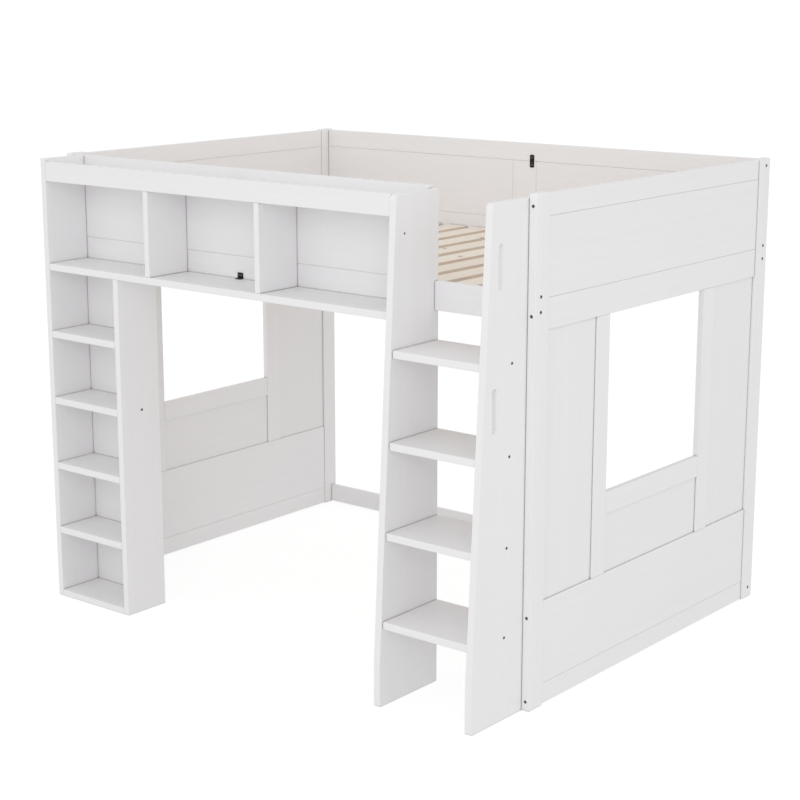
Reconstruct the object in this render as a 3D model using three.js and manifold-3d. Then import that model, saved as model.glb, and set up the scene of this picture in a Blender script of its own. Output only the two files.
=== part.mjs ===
// Loft bed with storage: two panelled end frames with windows, a fixed ladder,
// a three-bay shelf over the front guard, a bookcase tower and a slatted base.
// Units are millimetres. +X runs along the bed, +Y runs from the ladder side to
// the back, +Z is up. The origin is on the floor, under the middle of the whole bed.

import * as THREE from 'three';
import { mergeVertices } from 'three/addons/utils/BufferGeometryUtils.js';
import Module from 'manifold-3d';

const wasm = await Module();
wasm.setup();
const { Manifold, Mesh: SolidMesh } = wasm;

// ---------------------------------------------------------------- overall sizes
const overallLength = 2110; // outer face to outer face of the end frames
const endDepth = 1465; // front face of the front posts to back face of the back posts
const slatTop = 1300; // height of the sleeping deck, from which rails, guards and shelves are set
const guardRise = 350; // top edge of the guards and of the end frames above the slats
const fitGap = 0.3; // clearance between pieces that touch

// ---------------------------------------------------------------- end frames
const postWidth = 72;
const postThickness = 30;
const postRise = 4; // how far a post stands above the rails
const postEndChamfer = 3;
const frameThickness = 21;
const frameRecess = 6; // frame boards behind the outer face of the posts
const topRailHeight = 69;
const midRailRise = 30; // top of the middle rail above the slats
const midRailHeight = 100;
const windowWidth = 600;
const windowStileWidth = 75;
const sillTop = 632;
const sillHeight = 75;
const lowerPanelTop = 352;
const bottomRailHeight = 68;
const bottomRailLift = 4; // clear of the floor, so that the posts carry the weight
const infillThickness = 9;
const infillRecess = 7; // infill panels behind the outer face of the frame boards
const grooveDepth = 8; // how far a panel edge enters the board around it

// ---------------------------------------------------------------- long sides
const sideBoardThickness = 21;
const sideBoardSetback = 9; // side boards behind the outer face of the posts
const sideRailRise = 50; // top of the side rails above the slats
const sideRailHeight = 94;
const backStileWidth = 112;
const backBottomRailHeight = 72;

// ---------------------------------------------------------------- slatted base
const slatThickness = 18;
const slatWidth = 90;
const slatPitch = 129.5;
const slatEndMargin = 10; // least distance from an end frame to the first slat
const slatEndPlay = 3;
const webbingWidth = 30;
const webbingThickness = 2;
const webbingBite = 0.5; // how deep the staples pull the webbing into a slat
const webbingFromSlatEnd = 330;
const webbingEndInset = 10; // webbing ends this far inside the outer edge of the first and last slat
const ledgerHeight = 25;
const ledgerThickness = 25;
const centerBeamHeight = 50;
const centerBeamThickness = 30;

// ---------------------------------------------------------------- front storage
const storageDrop = 10; // fascia and ladder end this far below the guards
const storageReach = 177; // front of the shelves, ahead of the posts
const bookcaseInset = 61; // outer side of the bookcase, in from the end of the bed
const bookcaseWidth = 384;
const bookcaseSideThickness = 24;
const bookcaseBayCount = 5;
const bookcaseBackThickness = 8;
const outerSideRise = 10; // the bookcase's outer side stands this far above the fascia
const shelfThickness = 25;
const cubbyFloorDrop = 29; // top of the long shelf below the slats
const firstBayWidth = 503;
const secondBayWidth = 500;
const dividerThickness = 22;
const fasciaHeight = 70;
const fasciaThickness = 20;
const cubbyTopThickness = 20;
const bracketWidth = 25;
const bracketLeg = 21; // height of the leg on the guard
const bracketFoot = 16; // depth of the leg on the shelf board
const bracketThickness = 2.5;
const bracketFromFirstDivider = 280;

// ---------------------------------------------------------------- ladder
const ladderReach = 268; // front of the ladder's foot, ahead of the posts
const stileTopReach = 182;
const stileFootHeight = 140; // the front edge is upright up to here, then leans back
const stileThickness = 25;
const stileTopRadius = 18;
const stileFootRadius = 8;
const ladderClearWidth = 340;
const treadCount = 4;
const treadThickness = 25;
const lowestTreadTop = 286.5;
const topTreadDrop = 141.4; // top of the highest tread below the slats
const treadSetback = 7;
const handSlotWidth = 22;
const handSlotLength = 142;
const handSlotInset = 52; // middle of a slot behind the front edge
const handSlotDrops = [629, 193]; // middle of each slot below the top of the stile

// ---------------------------------------------------------------- places worked out
const halfLength = overallLength / 2;
const overallDepth = ladderReach + endDepth;
const postFront = ladderReach - overallDepth / 2;
const postBack = postFront + endDepth;
const insidePosts = halfLength - postThickness;
const frontBoardFace = postFront + sideBoardSetback;
const frontBoardRear = frontBoardFace + sideBoardThickness;
const backBoardFace = postBack - sideBoardSetback;
const backBoardInside = backBoardFace - sideBoardThickness;
const insideFrames = halfLength - frameRecess - frameThickness;
const railTop = slatTop + guardRise;
const midRailTop = slatTop + midRailRise;
const sideRailTop = slatTop + sideRailRise;
const sideRailBottom = sideRailTop - sideRailHeight;
const slatUnderside = slatTop - slatThickness;
const slatBearing = slatUnderside - fitGap;
const slatRun = 2 * (insideFrames - slatEndMargin) - slatWidth;
const slatCount = Math.floor(slatRun / slatPitch) + 1;
const storageTop = railTop - storageDrop;
const storageFront = postFront - storageReach;
const rightStileOuter = insidePosts - fitGap;
const rightStileInner = rightStileOuter - stileThickness;
const leftStileInner = rightStileInner - ladderClearWidth;
const leftStileOuter = leftStileInner - stileThickness;
const bookcaseLeft = bookcaseInset - halfLength;
const bookcaseRight = bookcaseLeft + bookcaseWidth;
const cubbyLeft = bookcaseLeft + bookcaseSideThickness + fitGap;
const cubbyRight = leftStileOuter - fitGap;
const cubbyBack = frontBoardFace - fitGap;
const cubbyFloorTop = slatTop - cubbyFloorDrop;
const fasciaBottom = storageTop - fasciaHeight;
const firstDivider = cubbyLeft + firstBayWidth;
const secondDivider = firstDivider + dividerThickness + secondBayWidth;
const treadPitch = (slatTop - topTreadDrop - lowestTreadTop) / (treadCount - 1);

const paint = { color: 0xeeecea, roughness: 0.48, metalness: 0 };
const panelPaint = { color: 0xe7e5e4, roughness: 0.55, metalness: 0 };
const pine = { color: 0xe6d3bb, roughness: 0.7, metalness: 0 };
const steel = { color: 0x3c3d40, roughness: 0.42, metalness: 0.85 };

const bed = new THREE.Group();
bed.name = 'loft_bed';

// ---------------------------------------------------------------- makers

/** Turns closed three.js geometry into a solid that can be joined and cut. */
function solidOf(geometry) {
  geometry.deleteAttribute('normal');
  geometry.deleteAttribute('uv');
  const merged = mergeVertices(geometry);
  const vertProperties = merged.getAttribute('position').array;
  const triVerts = new Uint32Array(merged.index.array);
  return new Manifold(new SolidMesh({ numProp: 3, vertProperties, triVerts }));
}

/** A solid box from its low and high limits along each axis. */
function block(limits) {
  const size = limits.map(([low, high]) => high - low);
  const middle = limits.map(([low, high]) => (low + high) / 2);
  return solidOf(new THREE.BoxGeometry(...size).translate(...middle));
}

/** The same limits, grown by an amount on every side. */
function grown(limits, amount) {
  return limits.map(([low, high]) => [low - amount, high + amount]);
}

/** Turns a joined or cut solid back into three.js geometry. */
function solidGeometry(solid) {
  const mesh = solid.getMesh();
  const geometry = new THREE.BufferGeometry();
  const corners = new Float32Array(mesh.numVert * 3);
  for (let i = 0; i < mesh.numVert; i += 1) {
    for (let axis = 0; axis < 3; axis += 1) {
      corners[i * 3 + axis] = mesh.vertProperties[i * mesh.numProp + axis];
    }
  }
  geometry.setAttribute('position', new THREE.BufferAttribute(corners, 3));
  geometry.setIndex(new THREE.BufferAttribute(new Uint32Array(mesh.triVerts), 1));
  geometry.computeVertexNormals();
  return geometry;
}

/** Adds one named mesh with its own material. */
function addMesh(name, geometry, finish) {
  const mesh = new THREE.Mesh(geometry, new THREE.MeshStandardMaterial(finish));
  mesh.name = name;
  bed.add(mesh);
  return mesh;
}

/** Adds a plain board that fills the given limits along x, y and z. */
function addBoard(name, x, y, z, finish = paint) {
  const size = [x, y, z].map(([low, high]) => high - low);
  const middle = [x, y, z].map(([low, high]) => (low + high) / 2);
  const mesh = addMesh(name, new THREE.BoxGeometry(...size), finish);
  mesh.position.set(...middle);
}

/** Adds an outline in the y-z plane, pushed along +X from a starting x. */
function addProfile(name, outline, startX, width, finish) {
  const options = { depth: width, bevelEnabled: false, curveSegments: 12 };
  const mesh = addMesh(name, new THREE.ExtrudeGeometry(outline, options), finish);
  const along = new THREE.Vector3(1, 0, 0);
  const back = new THREE.Vector3(0, 1, 0);
  const up = new THREE.Vector3(0, 0, 1);
  const turn = new THREE.Matrix4().makeBasis(back, up, along);
  mesh.quaternion.setFromRotationMatrix(turn);
  mesh.position.set(startX, 0, 0);
}

// ---------------------------------------------------------------- end frames

/** Limits along x for a board of an end frame, from its depth below the outer face. */
function acrossEnd(side, recess, thickness) {
  const outer = side * (halfLength - recess);
  const inner = side * (halfLength - recess - thickness);
  return [Math.min(outer, inner), Math.max(outer, inner)];
}

/** A post whose edges at the head and at the foot are eased by a low chamfer. */
function addPost(name, x, y) {
  const outline = new THREE.Shape();
  outline.moveTo(x[0], y[0]);
  outline.lineTo(x[1], y[0]);
  outline.lineTo(x[1], y[1]);
  outline.lineTo(x[0], y[1]);
  outline.closePath();
  const options = {
    depth: railTop + postRise - 2 * postEndChamfer,
    bevelThickness: postEndChamfer,
    bevelSize: postEndChamfer,
    bevelOffset: -postEndChamfer,
    bevelSegments: 1,
  };
  const mesh = addMesh(name, new THREE.ExtrudeGeometry(outline, options), paint);
  mesh.position.z = postEndChamfer;
}

/** One end of the bed: two posts, rails, window and panels, on side +1 or -1. */
function addEndFrame(prefix, side) {
  const middle = (postFront + postBack) / 2;
  const innerFront = postFront + postWidth + fitGap;
  const innerBack = postBack - postWidth - fitGap;
  const windowFront = middle - windowWidth / 2;
  const windowBack = middle + windowWidth / 2;
  const stileFront = windowFront - windowStileWidth;
  const stileBack = windowBack + windowStileWidth;
  const midRailBottom = midRailTop - midRailHeight;
  const sillBottom = sillTop - sillHeight;
  const bottomRailTop = bottomRailLift + bottomRailHeight;
  const postX = acrossEnd(side, 0, postThickness);
  const frameX = acrossEnd(side, frameRecess, frameThickness);
  const infillX = acrossEnd(side, frameRecess + infillRecess, infillThickness);
  const fullSpan = [innerFront, innerBack];
  const stileZ = [lowerPanelTop + fitGap, midRailBottom - fitGap];

  const bay = [lowerPanelTop - grooveDepth, midRailBottom + grooveDepth];
  const panels = {
    infill_front: [infillX, [innerFront, stileFront + grooveDepth], bay],
    infill_back: [infillX, [stileBack - grooveDepth, innerBack], bay],
    under_sill_panel: [
      infillX,
      [windowFront - grooveDepth, windowBack + grooveDepth],
      [lowerPanelTop - grooveDepth, sillBottom + grooveDepth],
    ],
  };
  const boards = {
    top_rail: [frameX, fullSpan, [railTop - topRailHeight + fitGap, railTop]],
    guard_panel: [frameX, fullSpan, [midRailTop + fitGap, railTop - topRailHeight]],
    mid_rail: [frameX, fullSpan, [midRailBottom, midRailTop]],
    window_stile_front: [frameX, [stileFront, windowFront], stileZ],
    window_stile_back: [frameX, [windowBack, stileBack], stileZ],
    window_sill: [frameX, [windowFront + fitGap, windowBack - fitGap], [sillBottom, sillTop]],
    lower_panel: [frameX, fullSpan, [bottomRailTop + fitGap, lowerPanelTop]],
    bottom_rail: [frameX, fullSpan, [bottomRailLift, bottomRailTop]],
  };

  addPost(`${prefix}_front_post`, postX, [postFront, postFront + postWidth]);
  addPost(`${prefix}_back_post`, postX, [postBack - postWidth, postBack]);
  const grooves = Object.values(panels).map((limits) => block(grown(limits, fitGap)));
  for (const [part, limits] of Object.entries(boards)) {
    const grooved = grooves.reduce((board, groove) => board.subtract(groove), block(limits));
    addMesh(`${prefix}_${part}`, solidGeometry(grooved), paint);
  }
  for (const [part, limits] of Object.entries(panels)) {
    addBoard(`${prefix}_${part}`, ...limits, panelPaint);
  }
}

// ---------------------------------------------------------------- long sides

/** Back guard, back side rail and the stretcher at the floor. */
function addBackSide() {
  const y = [backBoardInside, backBoardFace];
  const end = insidePosts - fitGap;
  const halfStile = backStileWidth / 2;
  const topRailBottom = railTop - topRailHeight;
  const guardZ = [sideRailTop + fitGap, topRailBottom - fitGap];
  addBoard('back_top_rail', [-end, end], y, [topRailBottom, railTop]);
  addBoard('back_guard_left', [-end, -halfStile - fitGap], y, guardZ);
  addBoard('back_guard_right', [halfStile + fitGap, end], y, guardZ);
  addBoard('back_center_stile', [-halfStile, halfStile], y, guardZ);
  addBoard('back_side_rail', [-end, end], y, [sideRailBottom, sideRailTop]);
  addBoard('back_bottom_rail', [-end, end], y, [bottomRailLift, bottomRailLift + backBottomRailHeight]);
}

/** Front guard behind the shelf, and the side rail on both sides of the ladder stile. */
function addFrontSide() {
  const y = [frontBoardFace, frontBoardRear];
  const leftEnd = fitGap - insidePosts;
  const railZ = [sideRailBottom, sideRailTop];
  addBoard('front_guard_board', [leftEnd, cubbyRight], y, [sideRailTop + fitGap, railTop]);
  addBoard('front_side_rail', [leftEnd, cubbyRight], y, railZ);
  addBoard('ladder_side_rail', [leftStileInner + fitGap, rightStileInner - fitGap], y, railZ);
}

// ---------------------------------------------------------------- slatted base

/** Ledgers along both sides, the beam down the middle and the roll of slats. */
function addSlattedBase() {
  const end = insidePosts - fitGap;
  const ledgerZ = [slatBearing - ledgerHeight, slatBearing];
  const frontLedger = frontBoardRear + fitGap;
  const backLedger = backBoardInside - fitGap;
  addBoard('front_slat_ledger', [-end, end], [frontLedger, frontLedger + ledgerThickness], ledgerZ);
  addBoard('back_slat_ledger', [-end, end], [backLedger - ledgerThickness, backLedger], ledgerZ);

  const middle = (frontBoardRear + backBoardInside) / 2;
  const beamEnd = insideFrames - fitGap;
  const beamY = [middle - centerBeamThickness / 2, middle + centerBeamThickness / 2];
  addBoard('center_beam', [-beamEnd, beamEnd], beamY, [slatBearing - centerBeamHeight, slatBearing], pine);

  const slatY = [frontBoardRear + slatEndPlay, backBoardInside - slatEndPlay];
  const firstSlat = (-slatPitch * (slatCount - 1)) / 2;
  const pieces = [];
  for (let i = 0; i < slatCount; i += 1) {
    const center = firstSlat + i * slatPitch;
    const slatX = [center - slatWidth / 2, center + slatWidth / 2];
    pieces.push(block([slatX, slatY, [slatUnderside, slatTop]]));
  }
  const webbingEnd = slatWidth / 2 - firstSlat - webbingEndInset;
  const webbingX = [-webbingEnd, webbingEnd];
  const webbingZ = [slatUnderside - webbingThickness + webbingBite, slatUnderside + webbingBite];
  for (const start of [slatY[0] + webbingFromSlatEnd, slatY[1] - webbingFromSlatEnd - webbingWidth]) {
    pieces.push(block([webbingX, [start, start + webbingWidth], webbingZ]));
  }
  addMesh('slat_roll', solidGeometry(Manifold.union(pieces)), pine);
}

// ---------------------------------------------------------------- front storage

/** The open three-bay shelf in front of the guard, with its tray-like top. */
function addCubbyShelf() {
  const depth = [storageFront, cubbyBack];
  const dividerZ = [cubbyFloorTop + fitGap, fasciaBottom - fitGap];
  const fasciaRear = storageFront + fasciaThickness;
  const topDepth = [fasciaRear + fitGap, cubbyBack];
  const topZ = [fasciaBottom, fasciaBottom + cubbyTopThickness];
  const span = [cubbyLeft, cubbyRight];
  addBoard('cubby_bottom_board', span, depth, [cubbyFloorTop - shelfThickness, cubbyFloorTop]);
  addBoard('cubby_divider_left', [firstDivider, firstDivider + dividerThickness], depth, dividerZ);
  addBoard('cubby_divider_right', [secondDivider, secondDivider + dividerThickness], depth, dividerZ);
  addBoard('cubby_fascia', span, [storageFront, fasciaRear], [fasciaBottom, storageTop]);
  addBoard('cubby_top_board', span, topDepth, topZ);
}

/** A steel angle that holds a shelf board to the guard behind it. */
function addCornerBracket(name, boardTop) {
  const rear = cubbyBack;
  const seat = boardTop + fitGap;
  const outline = new THREE.Shape();
  outline.moveTo(rear - bracketFoot, seat);
  outline.lineTo(rear, seat);
  outline.lineTo(rear, seat + bracketLeg);
  outline.lineTo(rear - bracketThickness, seat + bracketLeg);
  outline.lineTo(rear - bracketThickness, seat + bracketThickness);
  outline.lineTo(rear - bracketFoot, seat + bracketThickness);
  outline.closePath();
  const startX = firstDivider + bracketFromFirstDivider - bracketWidth / 2;
  addProfile(name, outline, startX, bracketWidth, steel);
}

/** The tall bookcase at the far end from the ladder. */
function addBookcase() {
  const depth = [storageFront, cubbyBack];
  const leftInner = bookcaseLeft + bookcaseSideThickness;
  const rightInner = bookcaseRight - bookcaseSideThickness;
  const cubbyUnderside = cubbyFloorTop - shelfThickness;
  const inside = [cubbyLeft, rightInner - fitGap];
  const backFace = cubbyBack - bookcaseBackThickness;
  const shelfDepth = [storageFront, backFace - fitGap];
  addBoard('bookcase_left_side', [bookcaseLeft, leftInner], depth, [0, storageTop + outerSideRise]);
  addBoard('bookcase_right_side', [rightInner, bookcaseRight], depth, [0, cubbyUnderside - fitGap]);
  addBoard('bookcase_back_panel', inside, [backFace, cubbyBack], [0, cubbyUnderside - fitGap], panelPaint);
  addBoard('bookcase_bottom_board', inside, shelfDepth, [0, shelfThickness]);
  const pitch = (cubbyFloorTop - shelfThickness) / bookcaseBayCount;
  for (let i = 1; i < bookcaseBayCount; i += 1) {
    const top = shelfThickness + i * pitch;
    addBoard(`bookcase_shelf_${i}`, inside, shelfDepth, [top - shelfThickness, top]);
  }
}

// ---------------------------------------------------------------- ladder

/** How far the stile's front edge stands ahead of the posts at a height. */
function stileReachAt(height) {
  const lean = (height - stileFootHeight) / (storageTop - stileFootHeight);
  return ladderReach + (stileTopReach - ladderReach) * Math.max(lean, 0);
}

/** Outline of a ladder stile in the y-z plane: upright at the back, leaning at the front. */
function stileOutline() {
  const foot = postFront - ladderReach;
  const head = postFront - stileTopReach;
  const slope = (ladderReach - stileTopReach) / (storageTop - stileFootHeight);
  const shoulder = storageTop - stileTopRadius;
  const outline = new THREE.Shape();
  outline.moveTo(frontBoardRear, 0);
  outline.lineTo(frontBoardRear, storageTop);
  outline.lineTo(head + stileTopRadius, storageTop);
  outline.quadraticCurveTo(head, storageTop, head - slope * stileTopRadius, shoulder);
  outline.lineTo(foot, stileFootHeight);
  outline.lineTo(foot, stileFootRadius);
  outline.quadraticCurveTo(foot, 0, foot + stileFootRadius, 0);
  outline.closePath();
  return outline;
}

/** A hand slot with round ends, whose middle is some way below the top of the stile. */
function handSlot(drop) {
  const height = storageTop - drop;
  const y = postFront - stileReachAt(height) + handSlotInset;
  const radius = handSlotWidth / 2;
  const reach = handSlotLength / 2 - radius;
  const slot = new THREE.Path();
  slot.moveTo(y + radius, height + reach);
  slot.absarc(y, height + reach, radius, 0, Math.PI, false);
  slot.lineTo(y - radius, height - reach);
  slot.absarc(y, height - reach, radius, Math.PI, 2 * Math.PI, false);
  slot.closePath();
  return slot;
}

/** Two stiles that stand on the floor as legs, and the flat treads between them. */
function addLadder() {
  addProfile('ladder_left_stile', stileOutline(), leftStileOuter, stileThickness, paint);
  const slotted = stileOutline();
  slotted.holes = handSlotDrops.map(handSlot);
  addProfile('ladder_right_stile', slotted, rightStileInner, stileThickness, paint);

  const treadX = [leftStileInner + fitGap, rightStileInner - fitGap];
  for (let i = 0; i < treadCount; i += 1) {
    const top = lowestTreadTop + i * treadPitch;
    const front = postFront - stileReachAt(top) + treadSetback;
    addBoard(`ladder_tread_${i + 1}`, treadX, [front, frontBoardRear], [top - treadThickness, top]);
  }
}

addEndFrame('left', -1);
addEndFrame('right', 1);
addBackSide();
addFrontSide();
addSlattedBase();
addCubbyShelf();
addCornerBracket('lower_corner_bracket', cubbyFloorTop);
addCornerBracket('upper_corner_bracket', fasciaBottom + cubbyTopThickness);
addBookcase();
addLadder();

export default bed;
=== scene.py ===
import logging
import math
import random
from dataclasses import dataclass, field
from enum import Enum, IntEnum
from typing import Any, Callable, Sequence

import bmesh
import bpy
from mathutils import Matrix, Vector


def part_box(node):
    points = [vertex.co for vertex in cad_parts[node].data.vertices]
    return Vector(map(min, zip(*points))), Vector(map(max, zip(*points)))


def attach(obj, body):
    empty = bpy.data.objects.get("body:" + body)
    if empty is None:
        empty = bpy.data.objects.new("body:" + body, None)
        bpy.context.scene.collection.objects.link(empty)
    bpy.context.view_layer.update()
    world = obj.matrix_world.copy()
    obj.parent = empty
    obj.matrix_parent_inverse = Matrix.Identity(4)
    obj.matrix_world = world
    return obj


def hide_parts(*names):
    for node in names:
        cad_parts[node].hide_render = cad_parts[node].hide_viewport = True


# Looks of a loft bed: painted boards, pine slats, fasteners, floor, lamps and camera.
# Everything is in metres in the bed's own frame: +X along the bed towards the ladder
# end, +Y from the ladder side to the back, +Z up from the floor.

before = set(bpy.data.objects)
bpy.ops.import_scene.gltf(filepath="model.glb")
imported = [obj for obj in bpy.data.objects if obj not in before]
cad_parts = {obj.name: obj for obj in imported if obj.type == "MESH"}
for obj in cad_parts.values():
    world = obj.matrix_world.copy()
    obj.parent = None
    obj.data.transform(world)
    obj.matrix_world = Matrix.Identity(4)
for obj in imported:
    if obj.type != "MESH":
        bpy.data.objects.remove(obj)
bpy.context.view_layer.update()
MM = 0.001
SLAT_PITCH = 129.5 * MM
OPAQUE = 1.0
WHITE = (1.0, 1.0, 1.0)
BODY = "root"
log = logging.getLogger("loft_bed")

Number = float | int
Triple = tuple[float, float, float]


# ------------------------------------------------------------------ shader maths


class Channel:
    """One output socket of a shader graph that takes part in arithmetic."""

    def __init__(self, graph: "Graph", socket: bpy.types.NodeSocket) -> None:
        """Wraps a socket.

        Args:
            graph: the graph that new nodes are added to.
            socket: the output socket that this value comes from.
        """
        self.graph = graph
        self.socket = socket

    def _maths(self, operation: str, *values: "Channel | Number") -> "Channel":
        """Adds one Math node.

        Args:
            operation: the Math node's operation.
            *values: its inputs, in order.

        Returns:
            The node's result.
        """
        return self.graph.node(
            "ShaderNodeMath", {"operation": operation}, dict(enumerate(values))
        )

    def __add__(self, other: "Channel | Number") -> "Channel":
        """Sum of two values."""
        return self._maths("ADD", self, other)

    def __radd__(self, other: Number) -> "Channel":
        """Sum with a number on the left."""
        return self._maths("ADD", other, self)

    def __sub__(self, other: "Channel | Number") -> "Channel":
        """Difference of two values."""
        return self._maths("SUBTRACT", self, other)

    def __rsub__(self, other: Number) -> "Channel":
        """A number less this value."""
        return self._maths("SUBTRACT", other, self)

    def __mul__(self, other: "Channel | Number") -> "Channel":
        """Product of two values."""
        return self._maths("MULTIPLY", self, other)

    def __rmul__(self, other: Number) -> "Channel":
        """Product with a number on the left."""
        return self._maths("MULTIPLY", other, self)

    def __truediv__(self, other: "Channel | Number") -> "Channel":
        """Quotient of two values."""
        return self._maths("DIVIDE", self, other)

    def __rtruediv__(self, other: Number) -> "Channel":
        """A number divided by this value."""
        return self._maths("DIVIDE", other, self)

    def __pow__(self, power: "Channel | Number") -> "Channel":
        """This value raised to a power."""
        return self._maths("POWER", self, power)

    def __rpow__(self, base: Number) -> "Channel":
        """A number raised to this value."""
        return self._maths("POWER", base, self)

    def floor(self) -> "Channel":
        """The whole number below this value."""
        return self._maths("FLOOR", self)

    def between(self, low: Number, high: Number) -> "Channel":
        """A smooth step from 0 at low to 1 at high.

        Args:
            low: where the step begins.
            high: where the step ends.

        Returns:
            The stepped value.
        """
        return self.graph.node(
            "ShaderNodeMapRange",
            {"interpolation_type": "SMOOTHSTEP"},
            {"Value": self, "From Min": low, "From Max": high},
        )


@dataclass(frozen=True)
class Grit:
    """One layer of noise: its patches for each metre, finer layers and distortion."""

    scale: float
    detail: float = 2.0
    twist: float = 0.0


class Graph:
    """The node graph of one material."""

    corner_samples = 8

    def __init__(self, name: str) -> None:
        """Starts an empty graph.

        Args:
            name: the material's name.
        """
        self.material = bpy.data.materials.new(name)
        self.material.use_nodes = True
        self.tree = self.material.node_tree
        self.tree.nodes.clear()

    def _add(
        self, kind: str, settings: dict[str, Any], sockets: dict[str | int, Any]
    ) -> bpy.types.Node:
        """Adds a node of any kind and fills it in.

        Args:
            kind: the node's type name.
            settings: properties, set before the sockets.
            sockets: values or links of the inputs, by name or by index.

        Returns:
            The node.
        """
        made = self.tree.nodes.new(kind)
        for key, value in settings.items():
            setattr(made, key, value)
        for key, value in sockets.items():
            target = made.inputs[key]
            if isinstance(value, Channel):
                self.tree.links.new(value.socket, target)
            else:
                target.default_value = value
        return made

    def node(
        self,
        kind: str,
        settings: dict[str, Any] | None = None,
        sockets: dict[str | int, Any] | None = None,
        out: str | int = 0,
    ) -> Channel:
        """Adds a node of any kind and hands on one of its outputs.

        Args:
            kind: the node's type name.
            settings: properties, set before the sockets.
            sockets: values or links of the inputs, by name or by index.
            out: the output to return, by name or by index.

        Returns:
            The chosen output.
        """
        made = self._add(kind, settings or {}, sockets or {})
        return Channel(self, made.outputs[out])

    def blend(self, factor: Channel, low: Any, high: Any) -> Channel:
        """Mixes two colours.

        Args:
            factor: 0 gives low and 1 gives high.
            low: a colour or a link.
            high: a colour or a link.

        Returns:
            The mixed colour.
        """
        ends = [c if isinstance(c, Channel) else (*c, OPAQUE) for c in (low, high)]
        factor_in, low_in, high_in, colour_out = 0, 6, 7, 2
        return self.node(
            "ShaderNodeMix",
            {"data_type": "RGBA", "clamp_factor": True},
            {factor_in: factor, low_in: ends[0], high_in: ends[1]},
            out=colour_out,
        )

    def places(self, stretch: Triple = (1.0, 1.0, 1.0)) -> Channel:
        """Places on the object in metres, scaled along each axis.

        Args:
            stretch: the scale along x, y and z.

        Returns:
            The scaled place.
        """
        here = self.node("ShaderNodeTexCoord", out="Object")
        return self.node("ShaderNodeMapping", {}, {"Vector": here, "Scale": stretch})

    def noise(self, where: Channel, grit: Grit) -> Channel:
        """Smooth noise from 0 to 1.

        Args:
            where: the place that the noise is read at.
            grit: how fine and how distorted it is.

        Returns:
            The noise value.
        """
        return self.node(
            "ShaderNodeTexNoise",
            {"noise_dimensions": "3D"},
            {
                "Vector": where,
                "Scale": grit.scale,
                "Detail": grit.detail,
                "Distortion": grit.twist,
            },
        )

    def closeness(self, reach: float) -> Channel:
        """How near the surface is to an inside corner or a joint, from ambient occlusion; it
        sets where shade is painted.

        Args:
            reach: how far from the corner it begins, in metres.

        Returns:
            1 in a square inside corner and 0 in the open.
        """
        open_share = self.node(
            "ShaderNodeAmbientOcclusion",
            {"samples": self.corner_samples},
            {"Distance": reach},
            out="AO",
        )
        return (2.0 - open_share * 2.0).between(0.0, 1.0)

    def raised(self, height: Channel, strength: float, distance: float) -> Channel:
        """A surface normal bumped by a height.

        Args:
            height: the height from 0 to 1.
            strength: the share of the bump that shows.
            distance: the height's full size in metres.

        Returns:
            The bumped normal.
        """
        return self.node(
            "ShaderNodeBump",
            {},
            {"Height": height, "Strength": strength, "Distance": distance},
        )

    def surface(self, sockets: dict[str, Any]) -> bpy.types.Material:
        """Ends the graph in a Principled surface.

        Args:
            sockets: values or links of the Principled node's inputs.

        Returns:
            The finished material.
        """
        shader = self.node("ShaderNodeBsdfPrincipled", {}, sockets)
        self._add("ShaderNodeOutputMaterial", {}, {"Surface": shader})
        return self.material


# ------------------------------------------------------------------ finishes


class Grain(Enum):
    """The axis that a board's grain runs along."""

    X = 0
    Y = 1
    Z = 2

    def stretch(self, amount: float) -> Triple:
        """Scale for noise that is drawn out along the grain.

        Args:
            amount: the scale along the grain, where 1 is no stretch.

        Returns:
            The scale along x, y and z.
        """
        scale = [1.0, 1.0, 1.0]
        scale[self.value] = amount
        return tuple(scale)


@dataclass(frozen=True)
class PaintedWood:
    """Satin white paint over planed boards, whose grain still shows a little."""

    name: str
    grain: Grain
    light: Triple = (0.925, 0.918, 0.924)
    shade: Triple = (0.885, 0.877, 0.884)
    # Painted shade: the dark grey, reach and strength of the shade painted into inside corners
    # and joints.
    seam: Triple = (0.36, 0.345, 0.345)
    seam_reach: float = 10 * MM
    soft_shadow: float = 0.07
    seam_shadow: float = 0.52
    seam_sharpness: float = 6.0
    roughness: float = 0.44
    relief: float = 0.42
    relief_depth: float = 0.5 * MM
    reflection: float = 0.42
    fibre_stretch: float = 0.05
    figure_stretch: float = 0.016
    fibre: Grit = Grit(190.0, 4.0, 0.3)
    figure: Grit = Grit(24.0, 3.0, 1.1)
    pore: Grit = Grit(760.0, 1.0)
    pore_edge: tuple[float, float] = (0.66, 0.76)
    peel: Grit = Grit(620.0, 1.0)
    cloud: Grit = Grit(1.9)

    def build(self) -> bpy.types.Material:
        """Makes the material.

        Returns:
            The material, with fibres, figure and pores, and painted shade in inside corners and
            joints.
        """
        g = Graph(self.name)
        along = g.places(self.grain.stretch(self.fibre_stretch))
        far_along = g.places(self.grain.stretch(self.figure_stretch))
        fibres = g.noise(along, self.fibre)
        figure = g.noise(far_along, self.figure)
        pores = g.noise(far_along, self.pore).between(*self.pore_edge)
        peel = g.noise(g.places(), self.peel)
        clouds = g.noise(g.places(), self.cloud)
        tone = (figure - 0.5) * 0.85 + (fibres - 0.5) * 0.7 + (clouds - 0.5) * 0.5 + 0.62
        # Painted shade: ambient occlusion darkens the paint towards a dark grey in inside
        # corners and joints.
        closed = g.closeness(self.seam_reach)
        painted_shade_share = closed * self.soft_shadow + closed**self.seam_sharpness * self.seam_shadow
        colour = g.blend(painted_shade_share, g.blend(tone, self.shade, self.light), self.seam)
        height = fibres * 0.5 + figure * 0.35 - pores * 0.3 + peel * 0.1
        return g.surface(
            {
                "Base Color": colour,
                "Roughness": (fibres - 0.5) * 0.12 + (clouds - 0.5) * 0.1 + self.roughness,
                "Normal": g.raised(height, self.relief, self.relief_depth),
                "Specular IOR Level": self.reflection,
            }
        )


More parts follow.
